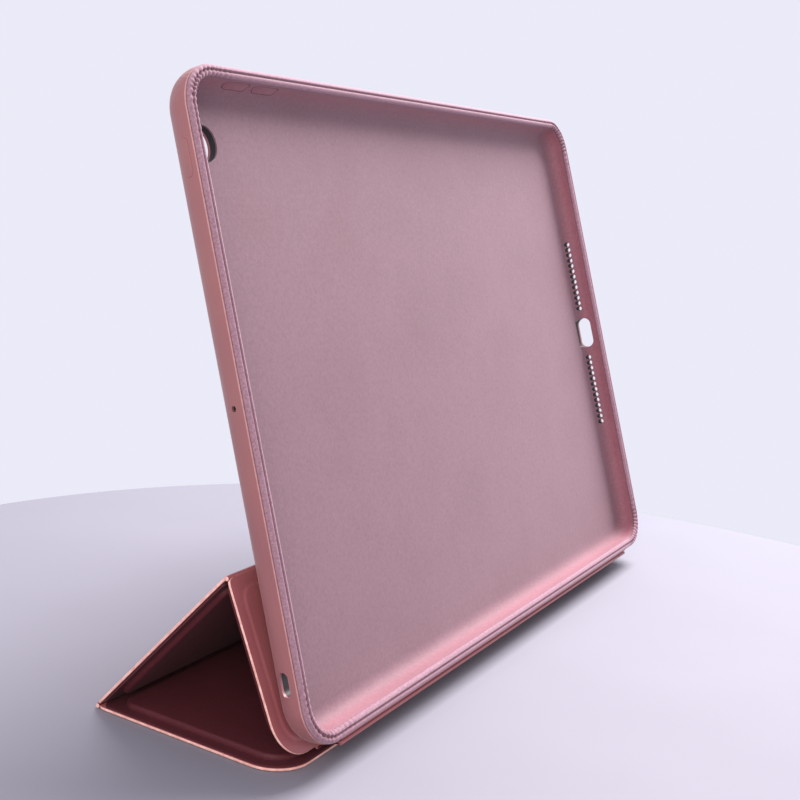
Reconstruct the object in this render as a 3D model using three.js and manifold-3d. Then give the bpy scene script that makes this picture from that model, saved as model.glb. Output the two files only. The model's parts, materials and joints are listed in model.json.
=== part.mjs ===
// Folding case for a ten-inch tablet, in millimetres, +Z up.
// A moulded tray holds the tablet. A three-panel cover hangs on a soft spine along the tray's lower
// long edge. Here the cover is folded behind the tray into a three-sided prism, which lies on the
// table and holds the tray up, leaning back.
//
// Tray frame: x along the tray, u up the tray from its lower edge, n out of its open front.
// Cover links: x along the hinges, y away from the link's own hinge, z out of its leather side.

import * as THREE from 'three';
import { mergeVertices } from 'three/addons/utils/BufferGeometryUtils.js';
import Module from 'manifold-3d';

const wasm = await Module();
wasm.setup();

// ---------------------------------------------------------------- driving dimensions

const GAP = 0.25;                 // air between layers that are glued on the real case
const CUT_SIDES = 8;              // sides of a small round hole
const ARC_STEPS = 6;              // steps in a rounded corner or end
const LEAST_RADIUS = 0.3;

const TRAY = {
  length: 246.5,
  width: 175,
  depth: 11,
  corner: 12,                     // corner radius seen from the front
  backEdge: 8,                    // rounding between the walls and the back
  rimHeight: 1.2,
  lean: THREE.MathUtils.degToRad(18.6),
};
const SKIN = 0.8;                 // tray leather
const SHELL = 1.3;                // moulded tray shell
const LINING = 0.5;               // tray microfibre
const SKIN_IN = SKIN;
const SHELL_OUT = SKIN + GAP;
const SHELL_IN = SHELL_OUT + SHELL;
const LINING_OUT = SHELL_IN + GAP;
const WALL = LINING_OUT + LINING;
const WALL_TOP = -(TRAY.rimHeight + GAP);

const PORT = { n: -6.2, length: 12, height: 5.2 };
const SPEAKER = { n: -6.6, radius: 0.95, pitch: 2.23, first: 10.2, count: 13 };
const MICROPHONE = { n: -4.6, radius: 0.8 };
const JACK = { u: 18.2, n: -5.2, length: 6.3, height: 3.3 };
const CAMERA = { fromLeft: 13.2, fromTop: 18.9, radius: 5, sides: 28 };

const BUTTON = { height: 2.8, n: -4.6, proud: 0.55, inner: WALL - 0.1, clearance: 0.35 };
const VOLUME_UP = { fromLeft: 27, length: 10.5 };
const VOLUME_DOWN = { fromLeft: 40.2, length: 10.5 };
const POWER = { fromTop: 24, length: 10 };

// Cover: hinge lines lie this far below the outer leather face.
const AXIS_DEPTH = 0.7;
const COVER = {
  length: TRAY.length - 1,
  corner: 11,                     // the free corners and those beside the spine
  foldCorner: 1.2,
  skin: 0.75,
  board: 1.2,
  lining: 0.45,
  flange: 3,                      // thin border round each padded board
  liningInset: 0.2,
  padCornerLess: 2,               // how much tighter a pad's corners are than the skin's
  padCornerLeast: 4,
};
const PANEL_1 = 49;               // spine hinge to the first fold
const PANEL_2 = 60.5;             // first fold to second fold
const PANEL_3 = 62;               // second fold to the free edge
const EDGE_CLEAR = 1.2;           // from a hinge line to a panel's skin
const LINING_CLEAR = 1.8;         // from a hinge line to a panel's lining
const PAD_CLEAR = { spine: 4.2, fold1: 3.8, fold2: 5.4 };
// The soft strip drawn in at each fold: two near half-rounds, `trim` radians short at each side.
const BEAD = { radius: 0.65, trim: 0.12, apart: 0.05, endInset: 1 };

const SPINE = {
  root: new THREE.Vector2(-1.9, -3.2),   // u, n of its hinge on the tray
  foot: new THREE.Vector2(-2.8, -10.8),  // u, n of the hinge on the first panel
  bow: 0.65,                      // the strip bows to its leather side
  halfThickness: 0.5,
  skin: 0.5,
  lining: 0.3,
  clear: 1.1,
  endInset: 16,                   // the strip stops short of the tray's round corners
};
const ROOT_STRIP = {
  inner: 0.25,
  outer: 0.95,
  nose: 0.6,
  noseEnd: THREE.MathUtils.degToRad(7.2),
  sweep: THREE.MathUtils.degToRad(36),
};

const MAGNET = { length: 12, width: 4, thickness: 0.8, pocket: 0.3, sides: 20 };
const EDGE_MAGNETS_X = [-92, -34, 34, 92];
const WAKE_MAGNET = { x: 60, y: 30, radius: 4 };
const KEEPER = { length: 190, width: 6, thickness: 0.6, y: 9.5 };

const LEATHER = { color: '#b5777c', roughness: 0.5, metalness: 0 };
const LEATHER_EDGE = { color: '#c98f90', roughness: 0.55, metalness: 0 };
const MICROFIBRE = { color: '#a87f92', roughness: 0.9, metalness: 0 };
const RIM_CLOTH = { color: '#b596a6', roughness: 0.8, metalness: 0 };
const DARK_SHELL = { color: '#1c1718', roughness: 0.6, metalness: 0 };
const BOARD = { color: '#6f6a66', roughness: 0.9, metalness: 0 };
const STEEL = { color: '#b8bcc0', roughness: 0.35, metalness: 1 };

// ---------------------------------------------------------------- geometry helpers

const X_AXIS = new THREE.Vector3(1, 0, 0);
const Y_AXIS = new THREE.Vector3(0, 1, 0);
const Z_AXIS = new THREE.Vector3(0, 0, 1);

// One closed ring of points round a rounded rectangle, counter-clockwise seen from +z.
// outline = { x0, x1, y0, y1, radii: [low left, low right, high right, high left] }
function ring(outline, inset, z) {
  const { x0, x1, y0, y1, radii } = outline;
  const corners = [
    [x0 + inset, y0 + inset, 1, 1, Math.PI],
    [x1 - inset, y0 + inset, -1, 1, 1.5 * Math.PI],
    [x1 - inset, y1 - inset, -1, -1, 0],
    [x0 + inset, y1 - inset, 1, -1, 0.5 * Math.PI],
  ];
  const points = [];
  corners.forEach(([x, y, sx, sy, start], i) => {
    const r = Math.max(radii[i] - inset, LEAST_RADIUS);
    for (let k = 0; k <= ARC_STEPS; k += 1) {
      const a = start + (k / ARC_STEPS) * 0.5 * Math.PI;
      points.push(new THREE.Vector3(x + sx * r + r * Math.cos(a), y + sy * r + r * Math.sin(a), z));
    }
  });
  return points;
}

function signedVolume(positions, index) {
  const [a, b, c] = [new THREE.Vector3(), new THREE.Vector3(), new THREE.Vector3()];
  let volume = 0;
  for (let i = 0; i < index.length; i += 3) {
    a.fromArray(positions, 3 * index[i]);
    b.fromArray(positions, 3 * index[i + 1]);
    c.fromArray(positions, 3 * index[i + 2]);
    volume += a.dot(b.cross(c)) / 6;
  }
  return volume;
}

// Joins rings of equal length into one closed body. Looped, the last ring meets the first;
// otherwise both end rings are closed with a fan, so they have to be convex.
function loft(rings, looped = false) {
  const count = rings[0].length;
  const positions = rings.flat().flatMap((p) => p.toArray());
  const index = [];
  const bands = looped ? rings.length : rings.length - 1;
  for (let i = 0; i < bands; i += 1) {
    const low = i * count;
    const high = ((i + 1) % rings.length) * count;
    for (let k = 0; k < count; k += 1) {
      const next = (k + 1) % count;
      index.push(low + k, low + next, high + next, low + k, high + next, high + k);
    }
  }
  if (!looped) {
    [[0, true], [rings.length - 1, false]].forEach(([i, flip]) => {
      const centre = new THREE.Vector3();
      rings[i].forEach((p) => centre.addScaledVector(p, 1 / count));
      const hub = positions.length / 3;
      positions.push(...centre.toArray());
      for (let k = 0; k < count; k += 1) {
        const a = i * count + k;
        const b = i * count + ((k + 1) % count);
        index.push(...(flip ? [hub, b, a] : [hub, a, b]));
      }
    });
  }
  if (signedVolume(positions, index) < 0) index.reverse();
  const geometry = new THREE.BufferGeometry();
  geometry.setAttribute('position', new THREE.Float32BufferAttribute(positions, 3));
  geometry.setIndex(index);
  return geometry;
}

function plate(outline, inset, zLow, zHigh) {
  return loft([ring(outline, inset, zLow), ring(outline, inset, zHigh)]);
}

function toSolid(geometry) {
  const bare = geometry.clone();
  bare.deleteAttribute('normal');
  bare.deleteAttribute('uv');
  const merged = mergeVertices(bare, 1e-4);
  return new wasm.Manifold(new wasm.Mesh({
    numProp: 3,
    vertProperties: new Float32Array(merged.attributes.position.array),
    triVerts: new Uint32Array(merged.index.array),
  }));
}

function fromSolid(solid) {
  const mesh = solid.getMesh();
  const geometry = new THREE.BufferGeometry();
  geometry.setAttribute('position', new THREE.BufferAttribute(new Float32Array(mesh.vertProperties), 3));
  geometry.setIndex(new THREE.BufferAttribute(new Uint32Array(mesh.triVerts), 1));
  return geometry;
}

const cut = (geometry, cutters) => fromSolid(toSolid(geometry).subtract(cutters));
const joinSolids = (solids) => solids.reduce((all, one) => all.add(one));

function extrude(shape, depth) {
  return new THREE.ExtrudeGeometry(shape, { depth, bevelEnabled: false, curveSegments: ARC_STEPS });
}

// A shape drawn in (y, z), run along x between two ends.
function runAlongX(shape, xLow, xHigh) {
  const geometry = extrude(shape, xHigh - xLow);
  geometry.applyMatrix4(new THREE.Matrix4().makeBasis(Y_AXIS, Z_AXIS, X_AXIS));
  return geometry.translate(xLow, 0, 0);
}

// A slot with round ends, `long` by `high`, drawn about the origin with its length along x.
function stadium(long, high) {
  const r = high / 2;
  const half = long / 2 - r;
  const shape = new THREE.Shape();
  shape.absarc(half, 0, r, -Math.PI / 2, Math.PI / 2);
  shape.absarc(-half, 0, r, Math.PI / 2, 1.5 * Math.PI);
  return shape;
}

// Cutters for the tray's walls: through a short wall (along x) or through the upper wall (along u).
const REACH = 16;
function endWallPrism(shape, x, u, n) {
  const geometry = extrude(shape, REACH);
  geometry.applyMatrix4(new THREE.Matrix4().makeBasis(Y_AXIS, Z_AXIS, X_AXIS));
  return geometry.translate(x - REACH / 2, u, n);
}
function upperWallPrism(shape, x, u, n) {
  const geometry = extrude(shape, REACH);
  geometry.applyMatrix4(new THREE.Matrix4().makeBasis(X_AXIS, Z_AXIS.clone().negate(), Y_AXIS));
  return geometry.translate(x, u - REACH / 2, n);
}

const assembly = new THREE.Group();
const tray = new THREE.Group();
assembly.add(tray);

function addPart(parent, name, geometry, look) {
  const mesh = new THREE.Mesh(geometry, new THREE.MeshStandardMaterial(look));
  mesh.name = name;
  parent.add(mesh);
}

// ---------------------------------------------------------------- tray

const LEFT = -TRAY.length / 2;
const RIGHT = TRAY.length / 2;
const MIDDLE = TRAY.width / 2;
const trayOutline = {
  x0: LEFT,
  x1: RIGHT,
  y0: 0,
  y1: TRAY.width,
  radii: [TRAY.corner, TRAY.corner, TRAY.corner, TRAY.corner],
};

// A cup that follows the tray's outer face, between two depths below that face.
function trayLayer(outer, inner, top) {
  const shoulder = -(TRAY.depth - TRAY.backEdge);
  const side = (depth) => {
    const rings = [ring(trayOutline, depth, top)];
    for (let k = 0; k <= ARC_STEPS; k += 1) {
      const a = (k / ARC_STEPS) * 0.5 * Math.PI;
      const r = TRAY.backEdge - depth;
      rings.push(ring(trayOutline, TRAY.backEdge - r * Math.cos(a), shoulder - r * Math.sin(a)));
    }
    return rings;
  };
  return loft([...side(outer).reverse(), ...side(inner)]);
}

const speakerHoles = [];
for (const way of [-1, 1]) {
  for (let i = 0; i < SPEAKER.count; i += 1) {
    const hole = new THREE.CylinderGeometry(SPEAKER.radius, SPEAKER.radius, REACH, CUT_SIDES);
    hole.rotateZ(Math.PI / 2);
    hole.translate(RIGHT, MIDDLE + way * (SPEAKER.first + i * SPEAKER.pitch), SPEAKER.n);
    speakerHoles.push(toSolid(hole));
  }
}
const port = toSolid(endWallPrism(stadium(PORT.length, PORT.height), RIGHT, MIDDLE, PORT.n));
const jack = toSolid(endWallPrism(stadium(JACK.length, JACK.height), LEFT, JACK.u, JACK.n));
const microphone = new THREE.CylinderGeometry(MICROPHONE.radius, MICROPHONE.radius, REACH, CUT_SIDES);
microphone.rotateZ(Math.PI / 2).translate(LEFT, MIDDLE, MICROPHONE.n);
const camera = new THREE.CylinderGeometry(CAMERA.radius, CAMERA.radius, REACH, CAMERA.sides);
camera.rotateX(Math.PI / 2);
camera.translate(LEFT + CAMERA.fromLeft, TRAY.width - CAMERA.fromTop, -TRAY.depth);

// The prism of one button, grown all round by `grow`.
function buttonPrism(button, grow) {
  const shape = stadium(button.length + 2 * grow, BUTTON.height + 2 * grow);
  if (button === POWER) return toSolid(endWallPrism(shape, LEFT, TRAY.width - button.fromTop, BUTTON.n));
  return toSolid(upperWallPrism(shape, LEFT + button.fromLeft, TRAY.width, BUTTON.n));
}

const openings = joinSolids([
  ...speakerHoles,
  port,
  jack,
  toSolid(microphone),
  toSolid(camera),
  ...[VOLUME_UP, VOLUME_DOWN, POWER].map((button) => buttonPrism(button, BUTTON.clearance)),
]);

addPart(tray, 'tray_skin', cut(trayLayer(0, SKIN_IN, WALL_TOP), openings), LEATHER);
addPart(tray, 'tray_shell', cut(trayLayer(SHELL_OUT, SHELL_IN, WALL_TOP), openings), DARK_SHELL);
addPart(tray, 'tray_lining', cut(trayLayer(LINING_OUT, WALL, WALL_TOP), openings), MICROFIBRE);

// The rolled rim: two ridges with a shallow valley, bound over the top of the wall.
const RIM = { ridge: TRAY.rimHeight, valley: 0.22, overhang: 0.2, steps: 4 };
const rimInnerCentre = WALL + RIM.overhang - RIM.ridge;
const rimRings = [];
for (let k = 0; k <= RIM.steps; k += 1) {
  const a = Math.PI - (k / RIM.steps) * 0.5 * Math.PI;
  rimRings.push(ring(trayOutline, RIM.ridge + RIM.ridge * Math.cos(a), RIM.ridge * (Math.sin(a) - 1)));
}
rimRings.push(ring(trayOutline, (RIM.ridge + rimInnerCentre) / 2, -RIM.valley));
for (let k = 0; k <= RIM.steps; k += 1) {
  const a = (1 - k / RIM.steps) * 0.5 * Math.PI;
  rimRings.push(ring(trayOutline, rimInnerCentre + RIM.ridge * Math.cos(a), RIM.ridge * (Math.sin(a) - 1)));
}
addPart(tray, 'rim_binding', loft(rimRings, true), RIM_CLOTH);

const buttonLayer = toSolid(trayLayer(-BUTTON.proud, BUTTON.inner, WALL_TOP));
const addButton = (name, button) => {
  addPart(tray, name, fromSolid(buttonPrism(button, 0).intersect(buttonLayer)), LEATHER);
};
addButton('volume_up_button', VOLUME_UP);
addButton('volume_down_button', VOLUME_DOWN);
addButton('power_button', POWER);

// The root of the cover: a leather strip glued round the lower back edge, with a rolled nose
// where the spine hinges.
const spineX = TRAY.length / 2 - SPINE.endInset;
const edgeCentre = new THREE.Vector2(TRAY.backEdge, -(TRAY.depth - TRAY.backEdge));
const rootOuter = TRAY.backEdge + ROOT_STRIP.outer;
const rootInner = TRAY.backEdge + ROOT_STRIP.inner;
const rootStrip = new THREE.Shape();
rootStrip.moveTo(-ROOT_STRIP.inner, SPINE.root.y + ROOT_STRIP.nose);
rootStrip.lineTo(SPINE.root.x, SPINE.root.y + ROOT_STRIP.nose);
rootStrip.absarc(SPINE.root.x, SPINE.root.y, ROOT_STRIP.nose, Math.PI / 2, 1.5 * Math.PI);
const rootStart = Math.PI + ROOT_STRIP.noseEnd;
const rootEnd = Math.PI + ROOT_STRIP.sweep;
rootStrip.absarc(edgeCentre.x, edgeCentre.y, rootOuter, rootStart, rootEnd);
rootStrip.absarc(edgeCentre.x, edgeCentre.y, rootInner, rootEnd, Math.PI, true);
addPart(tray, 'hinge_root_strip', runAlongX(rootStrip, -spineX, spineX), LEATHER);

// ---------------------------------------------------------------- cover

// A link of the cover, placed in the tray frame by its hinge line and its direction.
function addLink(at, angle) {
  const link = new THREE.Group();
  link.position.set(0, at.x, at.y);
  link.rotation.x = angle;
  tray.add(link);
  return link;
}

// The folded prism, worked out in a frame that lies on the table: forward, and up.
const secondFold = new THREE.Vector2(0, AXIS_DEPTH);
const footOnTable = new THREE.Vector2(60.9, 2.6);
const span = footOnTable.clone().sub(secondFold);
const reach = (PANEL_2 ** 2 - PANEL_1 ** 2 + span.lengthSq()) / (2 * span.length());
const rise = Math.sqrt(PANEL_2 ** 2 - reach ** 2);
const along = span.clone().normalize();
const firstFold = new THREE.Vector2(
  secondFold.x + reach * along.x - rise * along.y,
  secondFold.y + reach * along.y + rise * along.x,
);

// Turns a direction on the table into an angle in the tray's (u, n) plane.
const trayAngle = (forward, up) => Math.atan2(forward, up) + TRAY.lean;
const angle1 = trayAngle(firstFold.x - footOnTable.x, firstFold.y - footOnTable.y);
const angle2 = trayAngle(secondFold.x - firstFold.x, secondFold.y - firstFold.y);
const angle3 = trayAngle(1, 0);
const step = (from, angle, length) => new THREE.Vector2(
  from.x + length * Math.cos(angle),
  from.y + length * Math.sin(angle),
);
const hinge1 = SPINE.foot;
const hinge2 = step(hinge1, angle1, PANEL_1);
const hinge3 = step(hinge2, angle2, PANEL_2);

// Spine: a thin strip that bows to its leather side.
const spineVector = SPINE.foot.clone().sub(SPINE.root);
const spineLength = spineVector.length();
const spine = addLink(SPINE.root, Math.atan2(spineVector.y, spineVector.x));
const bowRadius = (spineLength ** 2 / 4 + SPINE.bow ** 2) / (2 * SPINE.bow);
function spineStrip(zHigh, zLow) {
  const half = Math.asin(spineLength / 2 / bowRadius) - SPINE.clear / bowRadius;
  const centre = [spineLength / 2, SPINE.bow - bowRadius];
  const strip = new THREE.Shape();
  strip.absarc(...centre, bowRadius + zHigh, Math.PI / 2 + half, Math.PI / 2 - half, true);
  strip.absarc(...centre, bowRadius + zLow, Math.PI / 2 - half, Math.PI / 2 + half);
  return runAlongX(strip, -spineX, spineX);
}
const spineTop = SPINE.halfThickness;
addPart(spine, 'spine_skin', spineStrip(spineTop, spineTop - SPINE.skin), LEATHER);
addPart(spine, 'spine_lining', spineStrip(SPINE.lining - spineTop, -spineTop), MICROFIBRE);

// One padded panel: leather outside, a stiffener board, and microfibre drawn over it and down to
// a thin flange. `start` and `end` give each end's corner radius and clearances.
const SKIN_FACE = AXIS_DEPTH;
const SKIN_BACK = SKIN_FACE - COVER.skin;
const BOARD_TOP = SKIN_BACK - GAP;
const BOARD_BOTTOM = BOARD_TOP - COVER.board;
const PAD_TOP = BOARD_BOTTOM - GAP;
const PAD_BOTTOM = PAD_TOP - COVER.lining;
const FLANGE_BOTTOM = BOARD_TOP - COVER.lining;
const PAD_SLOPE = 0.6;
const BOARD_INSET = 1.6;

function addPanel(number, parent, length, start, end, pockets) {
  const halfX = COVER.length / 2;
  const padCorner = (r) => Math.max(r - COVER.padCornerLess, COVER.padCornerLeast);
  const skinOutline = {
    x0: -halfX,
    x1: halfX,
    y0: start.skin,
    y1: length - end.skin,
    radii: [start.corner, start.corner, end.corner, end.corner],
  };
  const liningOutline = { ...skinOutline, y0: start.lining, y1: length - end.lining };
  const padOutline = {
    x0: -halfX + COVER.flange,
    x1: halfX - COVER.flange,
    y0: start.pad,
    y1: length - end.pad,
    radii: skinOutline.radii.map(padCorner),
  };
  const lining = loft([
    ring(padOutline, COVER.lining + PAD_SLOPE, PAD_TOP),
    ring(padOutline, COVER.lining, BOARD_TOP),
    ring(liningOutline, COVER.liningInset, BOARD_TOP),
    ring(liningOutline, COVER.liningInset, FLANGE_BOTTOM),
    ring(padOutline, 0, FLANGE_BOTTOM),
    ring(padOutline, PAD_SLOPE, PAD_BOTTOM),
  ]);
  let board = plate(padOutline, BOARD_INSET, BOARD_BOTTOM, BOARD_TOP);
  if (pockets) board = cut(board, pockets);
  addPart(parent, `panel_${number}_skin`, plate(skinOutline, 0, SKIN_BACK, SKIN_FACE), LEATHER);
  addPart(parent, `panel_${number}_board`, board, BOARD);
  addPart(parent, `panel_${number}_lining`, lining, MICROFIBRE);
}

const boardMiddle = (BOARD_TOP + BOARD_BOTTOM) / 2;
function box(x, y, lengthX, lengthY, thickness) {
  return new THREE.BoxGeometry(lengthX, lengthY, thickness).translate(x, y, boardMiddle);
}
function disc(x, y, radius, thickness) {
  const geometry = new THREE.CylinderGeometry(radius, radius, thickness, MAGNET.sides);
  return geometry.rotateX(Math.PI / 2).translate(x, y, boardMiddle);
}
const THROUGH = COVER.board + 1;
const around = 2 * MAGNET.pocket;
const atHinge = (pad, corner) => ({ skin: EDGE_CLEAR, lining: LINING_CLEAR, pad, corner });
const atSpine = atHinge(PAD_CLEAR.spine, COVER.corner);
const atFold1 = atHinge(PAD_CLEAR.fold1, COVER.foldCorner);
const atFold2 = atHinge(PAD_CLEAR.fold2, COVER.foldCorner);
const atFreeEdge = { skin: 0, lining: 0, pad: COVER.flange, corner: COVER.corner };

// Panel 1 carries the steel strip that the free edge's magnets hold on to.
const panel1 = addLink(hinge1, angle1);
const keeperPocket = toSolid(box(0, KEEPER.y, KEEPER.length + around, KEEPER.width + around, THROUGH));
addPanel(1, panel1, PANEL_1, atSpine, atFold1, keeperPocket);
const keeper = box(0, KEEPER.y, KEEPER.length, KEEPER.width, KEEPER.thickness);
addPart(panel1, 'panel_1_keeper_strip', keeper, STEEL);

const panel2 = addLink(hinge2, angle2);
addPanel(2, panel2, PANEL_2, atFold1, atFold2);

// Panel 3 is the free panel, with the magnets along its edge.
const panel3 = addLink(hinge3, angle3);
const magnetY = PANEL_3 - COVER.flange - BOARD_INSET - MAGNET.width;
const bar = (x, grow, thickness) => box(x, magnetY, MAGNET.length + grow, MAGNET.width + grow, thickness);
const { x: wakeX, y: wakeY, radius: wakeRadius } = WAKE_MAGNET;
const button = (grow, thickness) => disc(wakeX, wakeY, wakeRadius + grow, thickness);
const magnetPockets = joinSolids([
  ...EDGE_MAGNETS_X.map((x) => toSolid(bar(x, around, THROUGH))),
  toSolid(button(MAGNET.pocket, THROUGH)),
]);
addPanel(3, panel3, PANEL_3, atFold2, atFreeEdge, magnetPockets);
EDGE_MAGNETS_X.forEach((x, i) => {
  addPart(panel3, `edge_magnet_${i + 1}`, bar(x, 0, MAGNET.thickness), STEEL);
});
addPart(panel3, 'wake_magnet', button(0, MAGNET.thickness), STEEL);

// Soft folds: half-round strips of leather (outside) and microfibre (inside) on the fold's axis.
function foldStrip(side) {
  const halfRound = new THREE.Shape();
  const from = (side > 0 ? 0 : Math.PI) + BEAD.trim;
  halfRound.absarc(0, 0, BEAD.radius, from, from + Math.PI - 2 * BEAD.trim);
  const halfX = COVER.length / 2 - BEAD.endInset;
  return runAlongX(halfRound, -halfX, halfX).translate(0, 0, side * BEAD.apart);
}
addPart(panel2, 'fold_1_skin', foldStrip(1), LEATHER_EDGE);
addPart(panel2, 'fold_1_lining', foldStrip(-1), MICROFIBRE);
addPart(panel3, 'fold_2_skin', foldStrip(1), LEATHER_EDGE);
addPart(panel3, 'fold_2_lining', foldStrip(-1), MICROFIBRE);

// ---------------------------------------------------------------- stand on the table

// The tray leans back, and the foot of the first panel is where the tray frame meets the table frame.
tray.rotation.x = Math.PI / 2 - TRAY.lean;
tray.updateMatrixWorld(true);
const footInRoom = new THREE.Vector3(0, SPINE.foot.x, SPINE.foot.y).applyMatrix4(tray.matrixWorld);
tray.position.set(0, -footOnTable.x - footInRoom.y, footOnTable.y - footInRoom.z);
assembly.updateMatrixWorld(true);
const bounds = new THREE.Box3().setFromObject(assembly, true);
assembly.position.x = -(bounds.min.x + bounds.max.x) / 2;
assembly.position.y = -(bounds.min.y + bounds.max.y) / 2;
assembly.updateMatrixWorld(true);

export default assembly;
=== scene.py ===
"""Folding leather-look case for a ten-inch tablet, with its cover folded into a stand."""

import json
import math

import bmesh
import bpy
from mathutils import Matrix, Vector, noise


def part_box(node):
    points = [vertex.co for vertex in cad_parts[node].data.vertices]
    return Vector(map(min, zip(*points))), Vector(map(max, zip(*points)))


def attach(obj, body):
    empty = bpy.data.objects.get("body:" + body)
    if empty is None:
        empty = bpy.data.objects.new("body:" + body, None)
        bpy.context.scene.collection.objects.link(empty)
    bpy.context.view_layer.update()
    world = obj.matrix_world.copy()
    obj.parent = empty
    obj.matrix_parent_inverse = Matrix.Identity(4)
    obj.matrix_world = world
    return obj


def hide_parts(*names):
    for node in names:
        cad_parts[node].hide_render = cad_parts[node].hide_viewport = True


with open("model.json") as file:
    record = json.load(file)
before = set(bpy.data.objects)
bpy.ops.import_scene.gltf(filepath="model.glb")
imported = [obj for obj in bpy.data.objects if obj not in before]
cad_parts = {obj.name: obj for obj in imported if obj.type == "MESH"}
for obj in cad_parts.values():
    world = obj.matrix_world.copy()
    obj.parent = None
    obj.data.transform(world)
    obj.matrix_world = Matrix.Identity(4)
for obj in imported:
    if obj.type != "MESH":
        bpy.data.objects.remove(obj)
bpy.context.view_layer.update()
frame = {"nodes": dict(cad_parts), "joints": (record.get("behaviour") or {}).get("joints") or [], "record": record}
mm = 0.001


# ---------------------------------------------------------------- tray: the moulded shell
# A stiff dark plastic tray, moulded in one piece with rounded back edges. The leather goes on its
# outside and the microfibre on its inside, and it only shows where the holes are punched through.
# A hair is the slack with which points are told to lie on a line.
hair = 0.01 * mm
tray_length = 246.5 * mm
tray_width = 175 * mm
tray_depth = 11 * mm
tray_corner = 12 * mm
corner_segments = 18
back_edge = 8 * mm
back_segments = 12
wall_top = -1.35 * mm
leather_depth = 0.8 * mm
lining_depth = 2.6 * mm
wall = 3.1 * mm
root_in_tray = Vector((0, -1.9 * mm, -3.2 * mm))

rim_low, rim_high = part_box("rim_binding")
middle_x = Vector(((rim_low.x + rim_high.x) / 2, 0, 0))
hinge = {j["name"]: Vector(j["pos_m"]) + middle_x for j in frame["joints"] if j["type"] == "hinge"}
mount = {m["name"]: m for m in frame["record"]["mounts"]}


def placed(origin, y_axis, z_axis):
    """The matrix that stands a piece drawn at the origin on its own axes in the room."""
    x_axis = y_axis.cross(z_axis)
    turn = Matrix((x_axis, y_axis, z_axis)).transposed().to_4x4()
    return Matrix.Translation(origin) @ turn


out_of_tray = Vector(mount["tablet_seat"]["axis"]).normalized()
up_tray = out_of_tray.cross(Vector((1, 0, 0)))
tray_turn = placed(Vector((0, 0, 0)), up_tray, out_of_tray)
tray_frame = placed(hinge["cover_swing"] - tray_turn @ root_in_tray, up_tray, out_of_tray)


def only(piece):
    bpy.ops.object.select_all(action="DESELECT")
    piece.select_set(True)
    bpy.context.view_layer.objects.active = piece


def started(name, stretch=(1, 1, 1)):
    """Stretches and names the primitive that was just added, and opens it in edit mode."""
    piece = bpy.context.object
    piece.scale = [a * b for a, b in zip(piece.scale, stretch)]
    only(piece)
    bpy.ops.object.transform_apply(location=True, rotation=True, scale=True)
    piece.name = piece.data.name = name
    bpy.ops.object.mode_set(mode="EDIT")
    return piece


def pick(kind, test):
    """Selects the vertices, edges or faces of the open mesh for which the test holds."""
    bpy.ops.mesh.select_mode(type=kind)
    bpy.ops.mesh.select_all(action="DESELECT")
    mesh = bmesh.from_edit_mesh(bpy.context.object.data)
    for item in {"VERT": mesh.verts, "EDGE": mesh.edges, "FACE": mesh.faces}[kind]:
        if test(item):
            item.select_set(True)
    bmesh.update_edit_mesh(bpy.context.object.data)


def runs_along(edge, axis):
    way = edge.verts[1].co - edge.verts[0].co
    return abs(way[axis]) > 0.99 * way.length


def apply_modifiers(piece):
    only(piece)
    for modifier in list(piece.modifiers):
        bpy.ops.object.modifier_apply(modifier=modifier.name)


def rounded_edges(radius, segments):
    """Rounds the selected edges of the open mesh."""
    bpy.ops.mesh.bevel(offset=radius, segments=segments, affect="EDGES", clamp_overlap=False)


def tray_cup(name, depth, thickness):
    """An open tray whose outside lies this far below the outer leather face."""
    low = depth - tray_depth
    bpy.ops.mesh.primitive_cube_add(
        size=1,
        location=(0, tray_width / 2, (low + wall_top) / 2),
        scale=(tray_length - 2 * depth, tray_width - 2 * depth, wall_top - low),
    )
    cup = started(name)
    pick("EDGE", lambda e: runs_along(e, 2))
    rounded_edges(tray_corner - depth, corner_segments)
    pick("FACE", lambda f: f.normal.z > 0.9)
    bpy.ops.mesh.delete(type="ONLY_FACE")
    pick("EDGE", lambda e: max(v.co.z for v in e.verts) < low + hair)
    rounded_edges(back_edge - depth, back_segments)
    bpy.ops.object.mode_set(mode="OBJECT")
    solidify = cup.modifiers.new("thickness", "SOLIDIFY")
    solidify.thickness = thickness
    solidify.offset = -1
    solidify.use_even_offset = True
    apply_modifiers(cup)
    return cup


port_n, port_size = -6.2 * mm, (12 * mm, 5.2 * mm)
speaker_n, speaker_radius, speaker_pitch, speaker_first = -6.6 * mm, 0.95 * mm, 2.23 * mm, 10.2 * mm
speaker_holes = 13
microphone_n, microphone_radius = -4.6 * mm, 0.8 * mm
jack_u, jack_n, jack_size = 18.2 * mm, -5.2 * mm, (6.3 * mm, 3.3 * mm)
camera_radius, camera_from_left, camera_from_top = 5 * mm, 13.2 * mm, 18.9 * mm
button_n, button_height = -4.6 * mm, 2.8 * mm
volume_up_x, volume_up_length = -tray_length / 2 + 27 * mm, 10.5 * mm
volume_down_x, volume_down_length = -tray_length / 2 + 40.2 * mm, 10.5 * mm
power_u, power_length = tray_width - 24 * mm, 10 * mm
volume_gap, power_gap = 0.22 * mm, 0.04 * mm
punch_reach = 16 * mm
hole_sides, camera_sides = 20, 64
slot_end_segments = 12
nearly_half = 0.499


def round_punch(at, radius, turn, sides):
    bpy.ops.mesh.primitive_cylinder_add(
        vertices=sides, radius=radius, depth=punch_reach, location=at, rotation=turn
    )
    return bpy.context.object


def slot_punch(name, at, size, through):
    """A bar with round ends that goes through the wall along one axis."""
    length, height = size
    along_x = through == 1
    scale = (length, punch_reach, height) if along_x else (punch_reach, length, height)
    bpy.ops.mesh.primitive_cube_add(size=1, location=at, scale=scale)
    bar = started(name)
    pick("EDGE", lambda e: runs_along(e, through))
    rounded_edges(height * nearly_half, slot_end_segments)
    bpy.ops.object.mode_set(mode="OBJECT")
    return bar


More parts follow.
